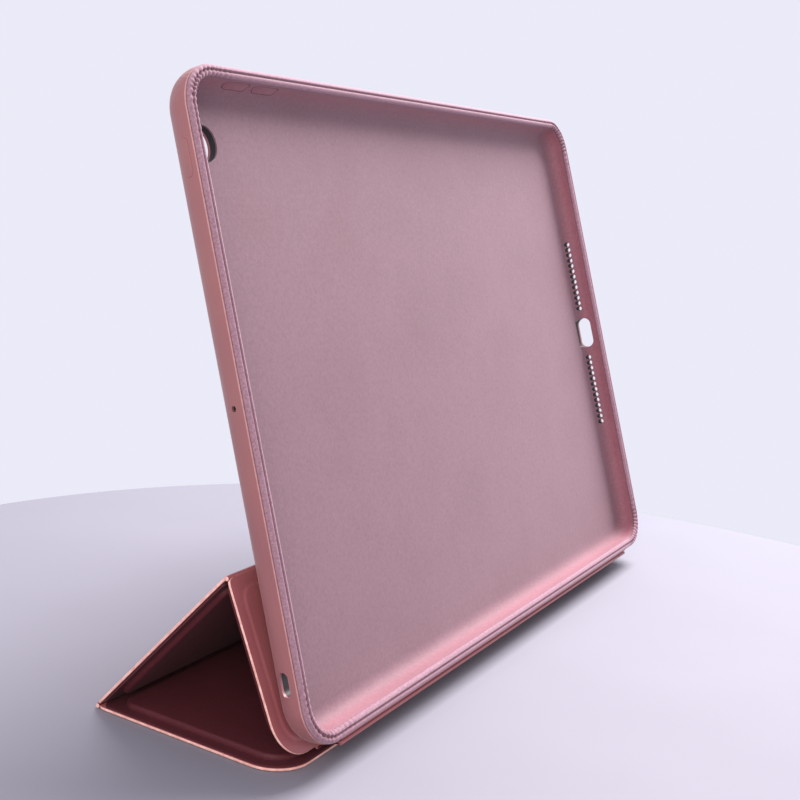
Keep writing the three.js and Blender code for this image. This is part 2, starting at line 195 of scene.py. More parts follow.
right, left = tray_length / 2, -tray_length / 2
sideways, upright_turn = (0, math.pi / 2, 0), (0, 0, 0)
button_places = {
    "volume_up": ((volume_up_x, tray_width, button_n), volume_up_length, 1),
    "volume_down": ((volume_down_x, tray_width, button_n), volume_down_length, 1),
    "power": ((left, power_u, button_n), power_length, 0),
}
camera_at_back = (left + camera_from_left, tray_width - camera_from_top, -tray_depth)
punches = [
    slot_punch("port_punch", (right, tray_width / 2, port_n), port_size, 0),
    slot_punch("jack_punch", (left, jack_u, jack_n), jack_size, 0),
    round_punch((left, tray_width / 2, microphone_n), microphone_radius, sideways, hole_sides),
    round_punch(camera_at_back, camera_radius, upright_turn, camera_sides),
]
for side in (-1, 1):
    for i in range(speaker_holes):
        at = (right, tray_width / 2 + side * (speaker_first + i * speaker_pitch), speaker_n)
        punches.append(round_punch(at, speaker_radius, sideways, hole_sides))
for at, length, through in button_places.values():
    gap = volume_gap if through == 1 else power_gap
    size = (length + 2 * gap, button_height + 2 * gap)
    punches.append(slot_punch("button_punch", at, size, through))
bpy.ops.object.select_all(action="DESELECT")
for punch in punches:
    punch.select_set(True)
bpy.context.view_layer.objects.active = punches[0]
bpy.ops.object.join()
all_punches = bpy.context.object


def punched(cup, tool, operation="DIFFERENCE"):
    cut = cup.modifiers.new("punch", "BOOLEAN")
    cut.operation = operation
    cut.object = tool
    cut.solver = "EXACT"
    apply_modifiers(cup)


def settled(piece, at, smooth=30):
    """Puts a finished piece in its place in the room and smooths its faces."""
    piece.matrix_world = at
    only(piece)
    bpy.ops.object.transform_apply(location=True, rotation=True, scale=True)
    bpy.ops.object.shade_smooth_by_angle(angle=math.radians(smooth))
    return piece


def finish_named(name, colour, roughness):
    """A new material with one principled shader, its even values set on the shader itself."""
    material = bpy.data.materials.new(name)
    material.use_nodes = True
    shader = material.node_tree.nodes["Principled BSDF"]
    shader.inputs["Base Color"].default_value = colour
    shader.inputs["Roughness"].default_value = roughness
    return material, shader


def srgb(red, green, blue):
    def linear(value):
        value /= 255
        return value / 12.92 if value <= 0.04045 else ((value + 0.055) / 1.055) ** 2.4

    return (linear(red), linear(green), linear(blue), 1)


def add_node(material, kind, **settings):
    """Adds a node; names that are its sockets set those, and the others its properties."""
    node = material.node_tree.nodes.new(kind)
    for name, value in settings.items():
        socket = name.replace("_", " ").title()
        if socket in node.inputs:
            node.inputs[socket].default_value = value
        else:
            setattr(node, name, value)
    return node


def link(material, output, socket):
    material.node_tree.links.new(output, socket)


def place_of(material):
    return add_node(material, "ShaderNodeTexCoord").outputs["Object"]


def mottle(material, scale, detail, low, high, colours):
    """Patches of two or more colours that run into each other."""
    patches = add_node(material, "ShaderNodeTexNoise", scale=scale, detail=detail, roughness=0.6)
    link(material, place_of(material), patches.inputs["Vector"])
    ramp = add_node(material, "ShaderNodeValToRGB")
    stops = ramp.color_ramp.elements
    for i, colour in enumerate(colours):
        place = low + (high - low) * i / (len(colours) - 1)
        stop = stops[i] if i < 2 else stops.new(place)
        stop.position, stop.color = place, colour
    link(material, patches.outputs["Fac"], ramp.inputs["Fac"])
    return ramp.outputs["Color"]


def bumped(material, shader, height, strength, distance, under=None):
    bump = add_node(material, "ShaderNodeBump", strength=strength, distance=distance)
    link(material, height, bump.inputs["Height"])
    if under:
        link(material, under, bump.inputs["Normal"])
    link(material, bump.outputs["Normal"], shader.inputs["Normal"])
    return bump.outputs["Normal"]


def noise_height(material, scale, detail):
    grain = add_node(material, "ShaderNodeTexNoise", scale=scale, detail=detail)
    link(material, place_of(material), grain.inputs["Vector"])
    return grain.outputs["Fac"]


def moulded_plastic():
    material, shader = finish_named("moulded_plastic", srgb(14, 10, 11), 0.6)
    tones = [srgb(9, 6, 7), srgb(24, 16, 18)]
    link(material, mottle(material, 600, 2, 0.35, 0.65, tones), shader.inputs["Base Color"])
    bumped(material, shader, noise_height(material, 3000, 2), 0.3, 0.05 * mm)
    return material


tray_shell = tray_cup("shell_moulding", leather_depth, lining_depth - leather_depth)
punched(tray_shell, all_punches)
settled(tray_shell, tray_frame)
tray_shell.data.materials.append(moulded_plastic())
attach(tray_shell, "tray")
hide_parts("tray_shell")


# ---------------------------------------------------------------- tray: outer leather
# Thin polyurethane leather, wrapped round the outside of the moulding and glued. It has a fine
# pebble grain and a satin face. A narrow band under the rim is painted paler, a painted highlight
# along the top of the wall, and the leather is drawn into soft creases round the four corners.
def mixed(material, kind, share, first, second):
    """Runs one colour into another by a share between 0 and 1."""
    mix = add_node(material, "ShaderNodeMix", data_type="RGBA", blend_type=kind)
    if isinstance(share, float):
        mix.inputs[0].default_value = share
    else:
        link(material, share, mix.inputs[0])
    link(material, first, mix.inputs[6])
    link(material, second, mix.inputs[7])
    return mix.outputs[2]


def attribute(material, name):
    return add_node(material, "ShaderNodeAttribute", attribute_name=name).outputs["Fac"]


def mark(piece, name, share):
    """Stores a share between 0 and 1 on every point, for a material to read."""
    values = piece.data.attributes.new(name, "FLOAT", "POINT").data
    for vertex, value in zip(piece.data.vertices, values):
        value.value = min(1, max(0, share(vertex.co)))


band_from, band_to = 0.7, 0.78


def satin_leather(name, tones, rim_highlight_tones=None):
    """Pebbled leather; with tones for a painted highlight under the rim, it also gets that pale band and creases.
    """
    material, shader = finish_named(name, tones[0], 0.42)
    shader.inputs["Specular IOR Level"].default_value = 0.5
    shader.inputs["Sheen Weight"].default_value = 0.15
    shader.inputs["Sheen Roughness"].default_value = 0.35
    shader.inputs["Sheen Tint"].default_value = srgb(255, 220, 218)
    colour = mottle(material, 20, 3, 0.3, 0.7, tones)
    if rim_highlight_tones:
        # The pale band under the rim is a painted highlight.
        band = add_node(material, "ShaderNodeMapRange", from_min=band_from, from_max=band_to)
        link(material, attribute(material, "near_rim"), band.inputs["Value"])
        painted_highlight = mottle(material, 900, 3, 0.3, 0.7, rim_highlight_tones)
        colour = mixed(material, "MIX", band.outputs["Result"], colour, painted_highlight)
    link(material, colour, shader.inputs["Base Color"])
    pebble = add_node(material, "ShaderNodeTexVoronoi", scale=1150, feature="SMOOTH_F1")
    link(material, place_of(material), pebble.inputs["Vector"])
    grain = bumped(material, shader, pebble.outputs["Distance"], 0.22, 0.12 * mm)
    face = bumped(material, shader, noise_height(material, 160, 5), 0.25, 0.35 * mm, under=grain)
    if rim_highlight_tones:
        creases = add_node(material, "ShaderNodeTexNoise", scale=300, detail=3, distortion=1.6)
        link(material, place_of(material), creases.inputs["Vector"])
        drawn = add_node(material, "ShaderNodeMath", operation="MULTIPLY")
        link(material, creases.outputs["Fac"], drawn.inputs[0])
        link(material, attribute(material, "creased"), drawn.inputs[1])
        bumped(material, shader, drawn.outputs["Value"], 0.7, 0.9 * mm, under=face)
    shine = add_node(material, "ShaderNodeMapRange", to_min=0.36, to_max=0.52)
    link(material, noise_height(material, 90, 4), shine.inputs["Value"])
    link(material, shine.outputs["Result"], shader.inputs["Roughness"])
    return material


tray_leather = satin_leather(
    "tray_leather",
    [srgb(140, 90, 93), srgb(146, 95, 94), srgb(138, 87, 92)],
    [srgb(176, 124, 124), srgb(192, 144, 140)],
)
tray_skin = tray_cup("tray_leather_skin", 0, leather_depth)
punched(tray_skin, all_punches)


def corner_creases(place):
    """1 where the leather is drawn in round a corner by the rim, and 0 along the straight sides."""
    x = abs(place.x) - tray_length / 2 + tray_corner
    y = abs(place.y - tray_width / 2) - tray_width / 2 + tray_corner
    aside = (math.atan2(max(y, 0), max(x, 0)) / (math.pi / 4) - 1) if x > 0 or y > 0 else 1
    return (1 - aside ** 2) * (1 - (wall_top - place.z) / back_edge)


straight_wall = tray_depth - back_edge + wall_top
mark(tray_skin, "creased", corner_creases)
mark(tray_skin, "near_rim", lambda at: 1 - (wall_top - at.z) / straight_wall)
settled(tray_skin, tray_frame)
tray_skin.data.materials.append(tray_leather)
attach(tray_skin, "tray")
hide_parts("tray_skin")


# ---------------------------------------------------------------- tray: microfibre lining
# A short-napped microfibre glued to the floor and walls of the tray. The nap scatters light, so it
# looks paler at a glancing angle. It is stretched up the walls, which are painted rosier than the
# floor, a painted tone for the pinker light that falls on them.
# The cover's weaker sheen is part of its painted shadow.
lit_nap_sheen, shaded_nap_sheen = 0.28, 0.04
fleck_strength = 0.55


def napped_microfibre(name, tones, wall_light_tones=None):
    """Microfibre with flecks in its nap. The tray's gets wall tones, painted rosier up the walls; the cover's gets
    little sheen, and its dark tones are a painted shadow.
    """
    material, shader = finish_named(name, tones[0], 0.6)
    shader.inputs["Specular IOR Level"].default_value = 0.3
    shader.inputs["Sheen Weight"].default_value = lit_nap_sheen if wall_light_tones else shaded_nap_sheen
    shader.inputs["Sheen Roughness"].default_value = 0.5
    shader.inputs["Sheen Tint"].default_value = srgb(255, 232, 240)
    colour = mottle(material, 14, 3, 0.3, 0.7, tones)
    if wall_light_tones:
        wall_light = mottle(material, 20, 3, 0.3, 0.7, wall_light_tones)
        colour = mixed(material, "MIX", attribute(material, "wall_light"), colour, wall_light)
    flecks = mottle(material, 1100, 3, 0.3, 0.7, [srgb(205, 200, 204), srgb(255, 255, 255)])
    flecked = mixed(material, "MULTIPLY", fleck_strength, colour, flecks)
    link(material, flecked, shader.inputs["Base Color"])
    nap = bumped(material, shader, noise_height(material, 2200, 3), 0.35, 0.08 * mm)
    bumped(material, shader, noise_height(material, 420, 4), 0.2, 0.2 * mm, under=nap)
    return material


# The walls are painted rosier than the floor, painted light for the pinker light that falls on them.
wall_light_from, wall_light_to = -8 * mm, -4.5 * mm
tray_microfibre = napped_microfibre(
    "tray_microfibre",
    [srgb(109, 80, 88), srgb(115, 86, 95), srgb(109, 79, 87)],
    [srgb(140, 88, 98), srgb(148, 96, 106)],
)
tray_lining = tray_cup("tray_microfibre_lining", lining_depth, wall - lining_depth)
punched(tray_lining, all_punches)
mark(tray_lining, "wall_light", lambda at: (at.z - wall_light_from) / (wall_light_to - wall_light_from))
settled(tray_lining, tray_frame)
tray_lining.data.materials.append(tray_microfibre)
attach(tray_lining, "tray")
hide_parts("tray_lining")


# ---------------------------------------------------------------- tray: rolled rim
# The wall's edge is bound with a strip of the microfibre, rolled over and pressed into two soft
# ridges. It gathers into small pleats where it is eased round the four corners. The valley between
# the ridges, their lower outer sides and the pleats are darkened with painted shade.
rim_ridge = 1.2 * mm
rim_valley = 0.42 * mm
rim_width = wall + 0.2 * mm
ridge_steps = 8
valley_steps = 6
seam_half = 0.55 * mm
shaded_below, shaded_over = -0.95 * mm, 0.25 * mm
pleat_pitch = 1.9 * mm
pleat_depth = 0.32 * mm
pleat_spread = 15.5 * mm
pleat_change, pleat_wander = 150, 230
corner_steps = 80
gathered_run = 9 * mm
gathered_steps = 40
straight_steps = 60
longer_than_any_step = 20 * mm
clear_of_corner = 10 * mm


def rim_profile():
    """Points across the rim, as distance in from the outside and height."""
    inner = rim_width - rim_ridge
    points = []
    for k in range(ridge_steps + 1):
        a = math.pi * (1 - k / (2 * ridge_steps))
        points.append((rim_ridge * (1 + math.cos(a)), rim_ridge * (math.sin(a) - 1)))
    for k in range(1, valley_steps):
        share = k / valley_steps
        dip = rim_valley * math.sin(math.pi * share) ** 1.5
        points.append((rim_ridge + (inner - rim_ridge) * share, -dip))
    for k in range(ridge_steps + 1):
        a = math.pi / 2 * (1 - k / ridge_steps)
        points.append((inner + rim_ridge * math.cos(a), rim_ridge * (math.sin(a) - 1)))
    return points


def from_corner_centre(place):
    """The way to a point from the centre of the nearest corner's round, outwards along x and y."""
    across = Vector((abs(place.x), abs(place.y - tray_width / 2)))
    centre = Vector((tray_length / 2 - tray_corner, tray_width / 2 - tray_corner))
    return across - centre


def pleat(place):
    """How far the gathered cloth is drawn in at a point of the rim, from 0 down to -1."""
    away = from_corner_centre(place)
    angle = math.atan2(max(away.y, 0), max(away.x, 0)) - math.pi / 4
    along = angle * tray_corner - min(away.x, 0) + min(away.y, 0)
    inward = tray_corner - Vector((max(away.x, 0), max(away.y, 0))).length
    fade = math.exp(-((along / pleat_spread) ** 4)) * min(1, max(0, inward / rim_ridge))
    fade *= min(1, 0.75 + 0.9 * noise.noise(place * pleat_change))
    wander = 3 * noise.noise(place * pleat_wander)
    return fade * (math.sin(2 * math.pi * along / pleat_pitch + wander) - 1) / 2


def valley_share(place):
    """1 along the seam between the two ridges and 0 on their tops; a mask for painted shade in the valley."""
    away = from_corner_centre(place)
    if min(away) > 0:
        inward = tray_corner - away.length
    else:
        inward = tray_corner - max(away)
    return 1 - abs(inward - rim_width / 2) / seam_half


bpy.ops.mesh.primitive_plane_add(size=1, location=(0, tray_width / 2, -rim_ridge))
rim = started("rolled_rim", stretch=(tray_length, tray_width, 1))
bpy.ops.mesh.select_all(action="SELECT")
bpy.ops.mesh.bevel(offset=tray_corner, segments=corner_steps, affect="VERTICES", clamp_overlap=False)
pick("EDGE", lambda e: e.calc_length() > longer_than_any_step)
bpy.ops.mesh.subdivide(number_cuts=2)
mesh = bmesh.from_edit_mesh(rim.data)
for vertex in mesh.verts:
    for axis, middle, half in ((0, 0, tray_length / 2), (1, tray_width / 2, tray_width / 2)):
        from_middle = vertex.co[axis] - middle
        if clear_of_corner < abs(from_middle) < half - tray_corner - clear_of_corner:
            vertex.co[axis] = middle + math.copysign(half - tray_corner - gathered_run, from_middle)
bmesh.update_edit_mesh(rim.data)
pick("EDGE", lambda e: abs(e.calc_length() - gathered_run) < 0.1 * mm)
bpy.ops.mesh.subdivide(number_cuts=gathered_steps)
pick("EDGE", lambda e: e.calc_length() > longer_than_any_step)
bpy.ops.mesh.subdivide(number_cuts=straight_steps)
pick("FACE", lambda f: True)
profile = rim_profile()
for (inset, height), (next_inset, next_height) in zip(profile, profile[1:]):
    bpy.ops.mesh.inset(thickness=next_inset - inset, depth=next_height - height, use_even_offset=True)
bpy.ops.mesh.delete(type="ONLY_FACE")
pick("EDGE", lambda e: e.is_boundary)
bpy.ops.mesh.bridge_edge_loops()
bpy.ops.mesh.select_all(action="SELECT")
bpy.ops.mesh.normals_make_consistent(inside=False)
bpy.ops.object.mode_set(mode="OBJECT")
shifts = [vertex.normal * pleat_depth * pleat(vertex.co) for vertex in rim.data.vertices]
# The pleats' depth, the valley between the ridges and the lower outer sides are kept as masks for painted shade.
mark(rim, "pleat_shade", lambda at: -pleat(at))
mark(rim, "valley_shade", lambda at: max(valley_share(at), (shaded_below - at.z) / shaded_over))
for vertex, shift in zip(rim.data.vertices, shifts):
    vertex.co += shift
settled(rim, tray_frame, smooth=60)


def rim_cloth():
    material, shader = finish_named("rim_cloth", srgb(150, 112, 124), 0.8)
    shader.inputs["Sheen Weight"].default_value = 0.3
    shader.inputs["Sheen Roughness"].default_value = 0.4
    shader.inputs["Sheen Tint"].default_value = srgb(255, 232, 244)
    colour = mottle(material, 1700, 3, 0.3, 0.7, [srgb(124, 92, 103), srgb(156, 122, 134)])
    # Painted shade: darker tones mixed into the valley, the lower outer sides and the pleats.
    shaded = mottle(material, 1700, 3, 0.3, 0.7, [srgb(92, 54, 66), srgb(112, 70, 82)])
    colour = mixed(material, "MIX", attribute(material, "valley_shade"), colour, shaded)
    colour = mixed(material, "MIX", attribute(material, "pleat_shade"), colour, shaded)
    link(material, colour, shader.inputs["Base Color"])
    bumped(material, shader, noise_height(material, 2600, 4), 0.5, 0.1 * mm)
    return material


rim.data.materials.append(rim_cloth())
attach(rim, "tray")
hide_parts("rim_binding")


# ---------------------------------------------------------------- tray: push buttons
# Three pads are left free in the wall over the tablet's own buttons. Each is a plug of the wall
# itself, leather outside and microfibre inside. The volume pads stand a little proud of the wall.
volume_proud, power_proud = 0.5 * mm, 0.06 * mm
volume_softness, power_softness = 0.25 * mm, 0.03 * mm


def soften_edges(piece, width, segments=3, sharper_than=50):
    """Takes the sharpness off a finished shape's edges, and applies all its modifiers."""
    soften = piece.modifiers.new("soft_edge", "BEVEL")
    soften.width = width
    soften.segments = segments
    soften.limit_method = "ANGLE"
    soften.angle_limit = math.radians(sharper_than)
    apply_modifiers(piece)


for body, (at, length, through) in button_places.items():
    proud = volume_proud if through == 1 else power_proud
    pad = slot_punch(body + "_pad", at, (length, button_height), through)
    layer = tray_cup("button_layer", -proud, wall + proud)
    punched(pad, layer, "INTERSECT")
    bpy.data.objects.remove(layer)
    soften_edges(pad, volume_softness if through == 1 else power_softness)
    # The pads' inner faces get the walls' painted rosy tone in full.
    mark(pad, "wall_light", lambda at: 1)
    settled(pad, tray_frame)
    pad.data.materials.append(tray_leather)
    pad.data.materials.append(tray_microfibre)
    inward = tray_frame.to_3x3() @ (Vector((0, -1, 0)) if through == 1 else Vector((1, 0, 0)))
    for face in pad.data.polygons:
        face.material_index = 1 if face.normal.dot(inward) > 0.6 else 0
    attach(pad, body)
    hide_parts(body + "_button")
bpy.data.objects.remove(all_punches)


# ---------------------------------------------------------------- cover: root and spine
# The cover hangs on a leather strip glued round the tray's lower back edge. At the strip's rolled
# nose it turns into the spine, a thin band of leather and microfibre that folds at both its edges.
spine_half = tray_length / 2 - 16 * mm
spine_bow = 0.65 * mm
spine_leather_thickness = 0.5 * mm
spine_lining_thickness = 0.5 * mm
spine_end = 0.25 * mm
spine_steps = 12
nose_radius = 0.6 * mm
root_sweep = math.radians(36)
root_low, root_high = 0.1 * mm, 0.9 * mm
root_steps = 14
roll_end_share = 0.3
x_unit = Vector((1, 0, 0))
cover_leather = satin_leather(
    "cover_leather", [srgb(152, 89, 92), srgb(156, 93, 94), srgb(150, 86, 90)]
)
# The cover's microfibre gets much darker tones and little sheen, a painted shadow for the inside of the folded
# cover.
shaded_cover_microfibre = napped_microfibre(
    "shaded_cover_microfibre", [srgb(72, 20, 27), srgb(82, 27, 34), srgb(66, 17, 24)]
)


def roll(name, radius, half_length, at, finish):
    """A soft round roll of material that lies along a hinge line."""
    bpy.ops.mesh.primitive_cylinder_add(
        vertices=24, radius=radius, depth=2 * half_length, rotation=(0, math.pi / 2, 0)
    )
    piece = started(name)
    pick("EDGE", lambda e: min(abs(v.co.x) for v in e.verts) > half_length - 0.1 * mm)
    bpy.ops.mesh.bevel(offset=radius * roll_end_share, segments=3, affect="EDGES")
    bpy.ops.object.mode_set(mode="OBJECT")
    settled(piece, at)
    piece.data.materials.append(finish)
    return piece


def strip(name, y_low, y_high, z_low, z_high, steps, bend, at, finish):
    """A long thin band along the hinge, shaped by moving its points across its width."""
    bpy.ops.mesh.primitive_cube_add(
        size=1,
        location=(0, (y_low + y_high) / 2, (z_low + z_high) / 2),
        scale=(2 * spine_half, y_high - y_low, z_high - z_low),
    )
    piece = started(name)
    pick("EDGE", lambda e: runs_along(e, 1))
    bpy.ops.mesh.subdivide(number_cuts=steps)
    bpy.ops.object.mode_set(mode="OBJECT")
    for vertex in piece.data.vertices:
        vertex.co = bend(vertex.co)
    soften_edges(piece, 0.12 * mm, segments=2)
    settled(piece, at)
    piece.data.materials.append(finish)
    return piece


def round_back_edge(point):
    """Wraps the flat flap round the tray's lower back edge, from its nose backwards."""
    centre = Vector((0, back_edge, back_edge - tray_depth))
    straight = -root_in_tray.z - (tray_depth - back_edge) + nose_radius
    run = point.y - straight
    if run <= 0:
        return Vector((point.x, -point.z, centre.z - run))
    angle = run / back_edge
    reach = back_edge + point.z
    return Vector((point.x, centre.y - reach * math.cos(angle), centre.z - reach * math.sin(angle)))


flap_length = nose_radius + root_sweep * back_edge
root_flap = strip(
    "cover_root_flap", 0, flap_length, root_low, root_high, root_steps, round_back_edge,
    tray_frame, cover_leather,
)
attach(root_flap, "tray")
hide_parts("hinge_root_strip")
root_at = placed(hinge["cover_swing"], up_tray, out_of_tray)
root_nose = roll("cover_root_nose", nose_radius, spine_half, root_at, cover_leather)
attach(root_nose, "tray")

spine_way = hinge["panel_1_hinge"] - hinge["cover_swing"]
spine_width = spine_way.length
spine_out = x_unit.cross(spine_way.normalized())
spine_frame = placed(hinge["cover_swing"], spine_way.normalized(), spine_out)


def bowed(point):
    across = 2 * point.y / spine_width - 1
    return point + Vector((0, 0, spine_bow * (1 - across ** 2)))


spine_leather = strip(
    "spine_leather", spine_end, spine_width - spine_end, 0, spine_leather_thickness, spine_steps, bowed,
    spine_frame, cover_leather,
)
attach(spine_leather, "spine")
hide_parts("spine_skin")
spine_lining = strip(
    "spine_microfibre", spine_end, spine_width - spine_end, -spine_lining_thickness, -hair, spine_steps,
    bowed, spine_frame, shaded_cover_microfibre,
)
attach(spine_lining, "spine")
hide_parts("spine_lining")
foot_at = placed(hinge["panel_1_hinge"], spine_way.normalized(), spine_out)
spine_foot = roll("spine_foot_roll", nose_radius, spine_half, foot_at, cover_leather)
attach(spine_foot, "spine")


# ---------------------------------------------------------------- cover: three stiff panels
# Each panel is a card board between two skins: smooth leather outside, where the board shows as a
# faint raised field, and microfibre inside, pressed round the board and down to a thin border.
cover_half = (tray_length - 1 * mm) / 2
free_corner = 11 * mm
fold_corner = 7 * mm
fold_squareness = 0.22
field_corner = 4.2 * mm
leather_top = 0.7 * mm
leather_bottom = -0.05 * mm
border_bottom = -0.75 * mm
field_bottom = -2.2 * mm
panel_lining_thickness = 0.45 * mm
border = 3 * mm
field_rises = (0.34 * mm, 0.34 * mm, 0.12 * mm)
field_slope = ((0.3 * mm, 0.1), (0.35 * mm, 0.4), (0.35 * mm, 0.4), (0.3 * mm, 0.1))
field_shoulder = 0.9 * mm
shoulder_steps = 8
field_corner_segments = 14
skin_start = 0.08 * mm
spine_skin_start = 0.4 * mm
lining_start = 1.8 * mm
lining_inset = 0.2 * mm
lip_start = 0.65 * mm
lip_rise = 0.5 * mm


def cut_edge_and_highlight():
    """The leather's cut edge, where its paler backing shows, made brighter still as a painted highlight along the
    edges.
    """
    material, shader = finish_named("cut_edge_and_highlight", srgb(226, 172, 160), 0.5)
    tones = [srgb(214, 156, 146), srgb(240, 194, 180)]
    link(material, mottle(material, 700, 4, 0.35, 0.65, tones), shader.inputs["Base Color"])
    bumped(material, shader, noise_height(material, 2400, 3), 0.4, 0.08 * mm)
    return material


leather_cut_edge_and_highlight = cut_edge_and_highlight()


def panel_field(name, outline, z):
    """The flat face over the board, with its four corners rounded."""
    x_half, y_low, y_high, radii = outline
    bpy.ops.mesh.primitive_plane_add(size=1, location=(0, (y_low + y_high) / 2, z))
    piece = started(name, stretch=(2 * x_half, y_high - y_low, 1))

    def at_corner(vertex, at_end):
        at_side = vertex.is_boundary and abs(vertex.co.x) > x_half - hair
        return at_side and (vertex.co.y > (y_low + y_high) / 2) == at_end

    for radius, at_end in zip(radii, (False, True)):
        pick("VERT", lambda v: at_corner(v, at_end))
        bpy.ops.mesh.bevel(
            offset=radius, segments=field_corner_segments, affect="VERTICES", clamp_overlap=False
        )
    pick("FACE", lambda f: True)
    return piece


def spread_border(field, outline, squareness):
    """Draws the open edge out to the panel's own outline, square or round at each corner."""
    x_half, y_low, y_high, radii = outline
    field_x, field_low, field_high, field_radii = field
    pick("EDGE", lambda e: e.is_boundary)
    bpy.ops.mesh.extrude_edges_move(TRANSFORM_OT_translate={"value": (0, 0, 0)})
    mesh = bmesh.from_edit_mesh(bpy.context.object.data)
    for vertex in mesh.verts:
        if not vertex.select:
            continue
        at_end = vertex.co.y > (field_low + field_high) / 2
        way = 1 if at_end else -1
        inner = field_radii[at_end]
        centre_y = (field_high if at_end else field_low) - way * inner
        angle = math.atan2(max(way * (vertex.co.y - centre_y), 0), abs(vertex.co.x) - field_x + inner)
        radius, power = radii[at_end], squareness[at_end]
        along_x = max(math.cos(angle), 0) ** power
        along_y = max(math.sin(angle), 0) ** power
        side = math.copysign(1, vertex.co.x)
        vertex.co.x = side * (x_half - radius + radius * along_x)
        vertex.co.y = (y_high if at_end else y_low) - way * radius * (1 - along_y)
    bmesh.update_edit_mesh(bpy.context.object.data)


def closed_up():
    bpy.ops.mesh.select_all(action="SELECT")
    bpy.ops.mesh.remove_doubles(threshold=0.001 * mm)
    bpy.ops.mesh.normals_make_consistent(inside=False)
    bpy.ops.object.mode_set(mode="OBJECT")


def panel_leather(number, field, outline, squareness, at):
    """The outer skin: a flat border with the raised field over the board, and pale cut sides."""
    skin = panel_field(f"panel_{number}_leather", field, leather_top)
    rise = field_rises[number - 1]
    for width, share in field_slope:
        bpy.ops.mesh.inset(thickness=width, depth=share * rise, use_even_offset=True)
    spread_border(field, outline, squareness)
    pick("EDGE", lambda e: e.is_boundary)
    down = (0, 0, leather_bottom - leather_top)
    bpy.ops.mesh.extrude_edges_move(TRANSFORM_OT_translate={"value": down})
    bpy.ops.mesh.edge_face_add()
    closed_up()
    soften_edges(skin, 0.2 * mm, sharper_than=60)
    skin.data.materials.append(cover_leather)
    skin.data.materials.append(leather_cut_edge_and_highlight)
    for face in skin.data.polygons:
        face.material_index = 1 if abs(face.normal.z) < 0.8 and face.center.z < leather_top else 0
    return settled(skin, at)


def panel_lining(number, field, outline, squareness, free_end, at):
    """The inner skin: a padded field with round shoulders, and a lip that runs up to each fold."""
    lining = panel_field(f"panel_{number}_microfibre", field, border_bottom)
    drop = border_bottom - field_bottom
    for k in range(1, shoulder_steps + 1):
        a, b = math.pi / 2 * (k - 1) / shoulder_steps, math.pi / 2 * k / shoulder_steps
        bpy.ops.mesh.inset(
            thickness=field_shoulder * (math.cos(a) - math.cos(b)),
            depth=-drop * (math.sin(b) - math.sin(a)),
            use_even_offset=True,
        )
    spread_border(field, outline, squareness)
    y_low, y_high = outline[1:3]
    for y, way in [(y_low, -1)] if free_end else [(y_low, -1), (y_high, 1)]:
        pick("EDGE", lambda e: e.is_boundary and all(abs(v.co.y - y) < hair for v in e.verts))
        lip = (0, way * (lining_start - lip_start), lip_rise)
        bpy.ops.mesh.extrude_edges_move(TRANSFORM_OT_translate={"value": lip})
    bpy.ops.object.mode_set(mode="OBJECT")
    solidify = lining.modifiers.new("thickness", "SOLIDIFY")
    solidify.thickness = panel_lining_thickness
    solidify.offset = 1
    apply_modifiers(lining)
    bpy.ops.object.mode_set(mode="EDIT")
    closed_up()
    lining.data.materials.append(shaded_cover_microfibre)
    return settled(lining, at)


def panel_frame(start, toward):
    way = (toward - start).normalized()
    return placed(start, way, x_unit.cross(way))


spine_foot_at = hinge["panel_1_hinge"]
fold_1_at, fold_2_at = hinge["fold_1_hinge"], hinge["fold_2_hinge"]
free_edge_at = Vector((fold_2_at.x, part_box("panel_3_skin")[0].y, fold_2_at.z))
at_spine, at_fold_1, at_fold_2, at_free_edge = 4.2 * mm, 3.8 * mm, 5.4 * mm, 3 * mm
panels = [
    (1, spine_foot_at, fold_1_at, (True, False), (at_spine, at_fold_1)),
    (2, fold_1_at, fold_2_at, (False, False), (at_fold_1, at_fold_2)),
    (3, fold_2_at, free_edge_at, (False, True), (at_fold_2, at_free_edge)),
]
for number, start, toward, rounded, field_from in panels:
    body = f"panel_{number}"
    length = (toward - start).length
    at = panel_frame(start, toward)
    free_end = number == 3
    radii = [free_corner if free else fold_corner for free in rounded]
    squareness = [1 if free else fold_squareness for free in rounded]
    field_radii = [free_corner - border if free else field_corner for free in rounded]
    field_half = cover_half - border
    skin_low = spine_skin_start if number == 1 else skin_start
    skin_high = length if free_end else length - skin_start
    raised = (field_half, skin_low + border, skin_high - border, field_radii)
    skin = panel_leather(number, raised, (cover_half, skin_low, skin_high, radii), squareness, at)
    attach(skin, body)
    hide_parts(body + "_skin")
    lining_high = length if free_end else length - lining_start
    pressed = (field_half, field_from[0], length - field_from[1], field_radii)
    lining_outline = (cover_half - lining_inset, lining_start, lining_high, radii)
    lining = panel_lining(number, pressed, lining_outline, squareness, free_end, at)
    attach(lining, body)
    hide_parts(body + "_lining")


# ---------------------------------------------------------------- cover: folds
# Between the boards the two skins are pressed together into a soft roll, and the cover folds there.
# The outside of the roll is leather and its inside is microfibre, and its cut ends are pale.
fold_radius = 0.66 * mm
fold_half = cover_half - 0.05 * mm
fold_leather_from, fold_leather_to = math.radians(-20), math.radians(232)


def fold_roll(name, body, at, nodes):
    """A roll with leather on its outside, microfibre inside the fold, and two pale ends."""
    piece = roll(name, fold_radius, fold_half, Matrix.Identity(4), cover_leather)
    piece.data.materials.append(shaded_cover_microfibre)
    piece.data.materials.append(leather_cut_edge_and_highlight)
    for face in piece.data.polygons:
        if abs(face.normal.x) > 0.6:
            face.material_index = 2
            continue
        angle = math.atan2(face.center.z, face.center.y)
        if angle < fold_leather_from:
            angle += 2 * math.pi
        face.material_index = 0 if angle < fold_leather_to else 1
    settled(piece, at)
    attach(piece, body)
    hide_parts(*nodes)


